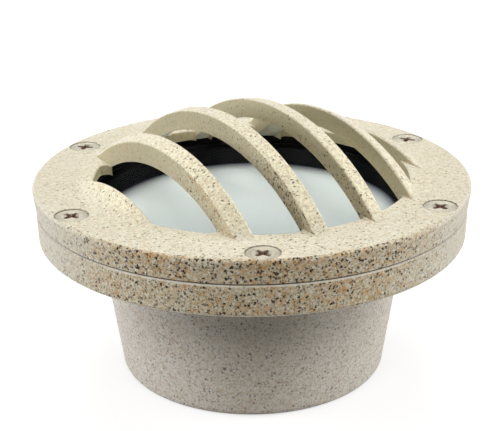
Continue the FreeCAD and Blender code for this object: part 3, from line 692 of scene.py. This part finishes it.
def wire_tube(name, points, gauge, sides=8, weave=0.0):
    """A round wire along points, as a capped mesh. weave is the depth of a braid's dimples."""
    rings = []
    for k, point in enumerate(points):
        ahead = Vector(points[min(k + 1, len(points) - 1)])
        behind = Vector(points[max(k - 1, 0)])
        along = (ahead - behind).normalized()
        side = along.cross(OFF_WIRE).normalized()
        other = along.cross(side)
        rings.append([Vector(point) + (gauge - weave * ((k + s) % 2))
                      * (side * math.cos(2 * math.pi * s / sides)
                         + other * math.sin(2 * math.pi * s / sides))
                      for s in range(sides)])
    return skin(name, rings)


coil = [(-COIL_HALF, 0, LEG_FOOT_Z), (-COIL_HALF, 0, LEG_TOP_Z)]
for step in range(COIL_TURNS * COIL_STEPS + 1):
    turn = 2 * math.pi * step / COIL_STEPS
    coil.append((COIL_HALF * (2 * step / (COIL_TURNS * COIL_STEPS) - 1),
                 COIL_R * math.sin(turn), FILAMENT_Z - COIL_R * math.cos(turn)))
coil += [(COIL_HALF, 0, LEG_TOP_Z), (COIL_HALF, 0, LEG_FOOT_Z)]
filament = wire_tube("lamp_filament_coil", coil, FILAMENT_R, 6)

bright = Finish("bright_wire")
draw_marks = bright.noise(0.4, 4.0)
bright.surface({
    "Base Color": bright.mix(paint(198, 198, 196), paint(168, 166, 160), draw_marks),
    "Metallic": 0.95,
    "Roughness": 0.24 + 0.16 * draw_marks,
    "Normal": bright.bump(draw_marks, 0.01),
})
filament.data.materials.append(bright.material)
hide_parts("lamp_filament")
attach(filament, "lamp")
dress(bright, "lamp_pins", "lamp_clip")

steatite = Finish("lamp_ceramic")
pores = steatite.ramp(steatite.noise(0.35, 4.0), 0.55, 0.72)
stain = steatite.ramp(steatite.noise(5.0, 3.0), 0.5, 0.8)
fired = steatite.mix(paint(232, 228, 214), paint(214, 204, 180), stain)
steatite.surface({
    "Base Color": steatite.mix(fired, paint(178, 170, 150), 0.35 * pores),
    "Roughness": 0.55 + 0.15 * pores,
    "Normal": steatite.bump(1 - pores, 0.03),
})
dress(steatite, "lamp_cap", "lamp_socket")

brass = Finish("brass_parts")
tarnish = brass.ramp(brass.noise(2.5, 4.0), 0.45, 0.75)
brass.surface({
    "Base Color": brass.mix(paint(214, 180, 104), paint(150, 116, 66), tarnish),
    "Metallic": 0.95 - 0.2 * tarnish,
    "Roughness": 0.28 + 0.22 * tarnish,
    "Normal": brass.bump(brass.noise(0.3), 0.01),
})
dress(brass, "socket_rivets", "terminal_tubes")


# ---- Gimbal ring, yoke and their screws ----------------------------------------------------
# Pressed and bent steel strip, zinc plated after forming. The lamp's ring tilts between the
# yoke's uprights on two screws with locknuts; two more screws hold the yoke to the floor.

zinc = Finish("plated_steel")
spangle = zinc.noise(2.2)
drawn_out = zinc.node("ShaderNodeVectorMath", {"operation": "MULTIPLY"},
                      {0: zinc.place, 1: (0.3, 0.3, 6.0)})
rolling = zinc.noise(1.0, 3.0, drawn_out)
bloom = zinc.ramp(zinc.noise(4.0, 4.0), 0.55, 0.8)
plated = zinc.mix(paint(196, 199, 203), paint(178, 182, 190), spangle)
zinc.surface({
    "Base Color": zinc.mix(plated, paint(205, 205, 200), 0.6 * bloom),
    "Metallic": 0.92 - 0.35 * bloom,
    "Roughness": 0.30 + 0.12 * rolling + 0.18 * bloom,
    "Normal": zinc.bump(rolling, 0.01),
})
dress(zinc, "gimbal_ring", "pivot_screws", "pivot_nuts", "yoke_bracket", "yoke_screws",
      "terminal_screws", "block_screw")


# ---- Leads ---------------------------------------------------------------------------------
# Two short stranded leads in white glass-silicone sleeves run from the socket to the block.
# Heat has yellowed the sleeves near the socket.

LEAD_R = 0.9
LEAD_STEPS = 56
BRAID_SIDES = 18
BRAID_DEPTH = 0.05
SOCKET_FACE_Y = 5.1
SOCKET_LEAD_X = 3.2
SOCKET_LEAD_Z = 12.5
LEAD_END_Y = 25.7
TERMINAL_X = 5.8
TERMINAL_Z = 9.1

sleeve = Finish("lead_sleeve")
y = sleeve.axes()[1]
weave = (y * 9 + 0.6 * sleeve.noise(1.0)).maths("SINE")
cool = sleeve.ramp(y + 3 * sleeve.noise(2.0), 4.0, 10.0)
sleeve.surface({
    "Base Color": sleeve.mix(paint(206, 192, 166), paint(226, 222, 212), cool),
    "Roughness": 0.66 + 0.05 * weave,
    "Normal": sleeve.bump(weave, 0.03),
})
leads = []
for side in (-1, 1):
    route = interpolate_bezier(
        Vector((side * SOCKET_LEAD_X, SOCKET_FACE_Y, SOCKET_LEAD_Z)),
        Vector((side * (SOCKET_LEAD_X + 0.4), 13.0, SOCKET_LEAD_Z - 0.2)),
        Vector((side * TERMINAL_X, 17.0, TERMINAL_Z)),
        Vector((side * TERMINAL_X, LEAD_END_Y, TERMINAL_Z)), LEAD_STEPS)
    leads.append(wire_tube("lamp_lead", route, LEAD_R, BRAID_SIDES, BRAID_DEPTH))
lamp_leads = joined("lamp_leads_sleeved", leads)
lamp_leads.data.materials.append(sleeve.material)
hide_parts("lamp_leads")
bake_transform(lamp_leads)


# ---- Cable gland ---------------------------------------------------------------------------
# A black nylon gland for a round cable: a body with a hexagon, screwed through the wall with
# a locknut inside, and a domed nut that squeezes the rubber seal on the cable.

GLAND_Z = 30.0
PAD_Y = 57.0
HEX_Y = PAD_Y + 1.2
SLEEVE_Y = HEX_Y + 5.0
NUT_Y = SLEEVE_Y + 0.4
GLAND_TIP_Y = NUT_Y + 14.0
INNER_WALL_Y = 47.6
LOCKNUT_Y = INNER_WALL_Y - 4.0
GLAND_BORE_R = 4.6
SEAL_R = 6.3
BACKWARDS = Matrix.Translation((0, 0, GLAND_Z / 1000)) @ Matrix.Rotation(-math.pi / 2, 4, "X")


def hexagonal(across_flats, rounding):
    """Radius of a hexagon with softened corners, for use with circle."""
    def reach(angle):
        off_flat = (angle + math.pi / 6) % (math.pi / 3) - math.pi / 6
        flat = across_flats / 2 / math.cos(off_flat)
        return min(flat, across_flats / math.sqrt(3) - rounding)
    return reach


def gland_piece(name, outline):
    """A moulded gland part. Each outline step is a radius, or a radius function, and its
    place along the gland."""
    piece = skin(name, [circle(reach, place, FINE) for reach, place in outline], looped=True)
    piece.data.transform(BACKWARDS)
    piece.data.materials.append(gland_nylon.material)
    return piece


gland_nylon = moulded("gland_nylon", paint(34, 34, 36), paint(44, 44, 47), gloss=0.40, grain=1.5)
hexagon = hexagonal(22.0, 0.5)
hexagon_edge = hexagonal(21.0, 0.9)
grip = hexagonal(20.5, 0.5)


def ribbed(angle):
    """The nut's grip: its hexagon with shallow finger grooves on every flat."""
    return grip(angle) - 0.18 * max(0.0, math.cos(30 * angle)) ** 4


body = gland_piece("gland_body_moulded", [
    (7.6, LOCKNUT_Y - 1.5), (7.95, LOCKNUT_Y - 1.1),
    (7.95, HEX_Y), (hexagon_edge, HEX_Y), (hexagon, HEX_Y + 0.5), (hexagon, SLEEVE_Y - 0.5),
    (hexagon_edge, SLEEVE_Y), (7.6, SLEEVE_Y), (7.6, SLEEVE_Y + 7.7), (7.3, SLEEVE_Y + 8.0),
    (SEAL_R, SLEEVE_Y + 8.0), (SEAL_R, SLEEVE_Y + 1.0), (GLAND_BORE_R, SLEEVE_Y + 1.0),
    (GLAND_BORE_R, LOCKNUT_Y - 1.5)])
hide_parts("gland_body")

nut = gland_piece("gland_nut_moulded", [
    (7.7, NUT_Y), (9.7, NUT_Y), (ribbed, NUT_Y + 0.6), (ribbed, NUT_Y + 6.0), (grip, NUT_Y + 6.6),
    (9.9, NUT_Y + 7.0), (9.55, NUT_Y + 9.0), (8.9, NUT_Y + 11.0), (8.0, NUT_Y + 12.8),
    (7.2, NUT_Y + 13.7), (6.4, GLAND_TIP_Y), (GLAND_BORE_R + 0.4, GLAND_TIP_Y),
    (GLAND_BORE_R, GLAND_TIP_Y - 0.4), (GLAND_BORE_R, NUT_Y + 10.6), (SEAL_R, NUT_Y + 10.6),
    (SEAL_R, NUT_Y + 8.6), (7.7, NUT_Y + 8.6)])
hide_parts("gland_nut")

locknut = gland_piece("gland_locknut_moulded", [
    (8.0, LOCKNUT_Y), (hexagon_edge, LOCKNUT_Y), (hexagon, LOCKNUT_Y + 0.5),
    (hexagon, INNER_WALL_Y - 0.4), (hexagon_edge, INNER_WALL_Y), (8.0, INNER_WALL_Y)])
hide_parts("gland_locknut")

for piece in (body, nut, locknut):
    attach(piece, "housing")


# ---- Floor and light -----------------------------------------------------------------------
# A pale floor in a white room. Softboxes stand overhead, behind, at both sides and high in
# front. Those behind and at the sides are the strongest, so that the front stays the darkest.

FLOOR_HALF_M = 3
FLOOR_DROP_M = 0.0002
FLOOR_GREY = 0.45
FLOOR_GLOW = 0.72   # near the light; white from FLOOR_WHITE_R on
FLOOR_DIM_R = 350.0
FLOOR_WHITE_R = 1100.0
ROOM_GREY = 0.04
LAMPS_AIM_M = Vector((0, 0, 0.06))


def glows_for_the_lens(finish):
    """1 for what the camera sees, also in a mirror or through glass, 0 for rays that light
    things."""
    straight, mirrored, through, scattered = finish.node("ShaderNodeLightPath", output=(
        "Is Camera Ray", "Is Glossy Ray", "Is Transmission Ray", "Diffuse Depth"))
    return straight.maths("MAXIMUM", mirrored).maths("MAXIMUM", through) * (scattered < 0.5)


floor_mesh = bpy.data.meshes.new("floor")
floor_mesh.from_pydata([(FLOOR_HALF_M * x, FLOOR_HALF_M * y, 0)
                        for x, y in ((-1, -1), (1, -1), (1, 1), (-1, 1))], [], [(0, 1, 2, 3)])
floor = bpy.data.objects.new("floor", floor_mesh)
floor.location.z = -FLOOR_DROP_M
bpy.context.scene.collection.objects.link(floor)
paper = Finish("floor_paper")
x, y, _ = paper.axes()
far_off = paper.ramp(from_middle(x, y), FLOOR_DIM_R, FLOOR_WHITE_R)
paper_glow = (FLOOR_GLOW + (1 - FLOOR_GLOW) * far_off) * glows_for_the_lens(paper)
paper.surface({
    "Base Color": (FLOOR_GREY, FLOOR_GREY, FLOOR_GREY, 1.0),
    "Roughness": 0.9,
    "Specular IOR Level": 0.0,
    "Emission Color": paper.mix((0.0, 0.0, 0.0, 1.0), (1.0, 1.0, 1.0, 1.0), paper_glow),
    "Emission Strength": 1.0,
})
floor_mesh.materials.append(paper.material)


def softbox(name, place, width, height, watts, colour=(1.0, 1.0, 1.0)):
    """A rectangular lamp that faces the well light. Its place and size are in metres."""
    lamp = bpy.data.objects.new(name, bpy.data.lights.new(name, "AREA"))
    lamp.data.shape = "RECTANGLE"
    lamp.data.size, lamp.data.size_y = width, height
    lamp.data.energy = watts
    lamp.data.color = colour
    lamp.location = place
    lamp.rotation_euler = (LAMPS_AIM_M - Vector(place)).to_track_quat("-Z", "Y").to_euler()
    bpy.context.scene.collection.objects.link(lamp)


softbox("overhead", (0.10, 0.18, 1.25), 0.9, 0.9, 3.5)
softbox("behind", (0.36, 0.68, 1.0), 0.9, 0.6, 7.8)
softbox("left_side", (-0.95, 0.62, 0.24), 0.45, 0.45, 7.6, (0.95, 0.98, 1.06))
softbox("right_side", (0.97, -0.56, 0.24), 0.45, 0.45, 7.4, (0.97, 0.99, 1.04))
softbox("high_in_front", (-0.35, -0.56, 0.80), 0.7, 0.4, 4.0, (1.0, 0.97, 0.95))


class Room(Finish):
    """The world's nodes, put together like a surface's."""

    def __init__(self, world):
        world.use_nodes = True
        self.tree = world.node_tree
        self.tree.nodes.clear()


room = bpy.data.worlds.new("room")
bpy.context.scene.world = room
air = Room(room)
air_colour = air.mix((ROOM_GREY, ROOM_GREY, ROOM_GREY, 1.0), (1.0, 1.0, 1.0, 1.0),
                     glows_for_the_lens(air))
glow = air.node("ShaderNodeBackground", {}, {"Color": air_colour, "Strength": 1.0})
air.node("ShaderNodeOutputWorld", {}, {"Surface": glow})

bpy.context.scene.view_settings.view_transform = "Standard"
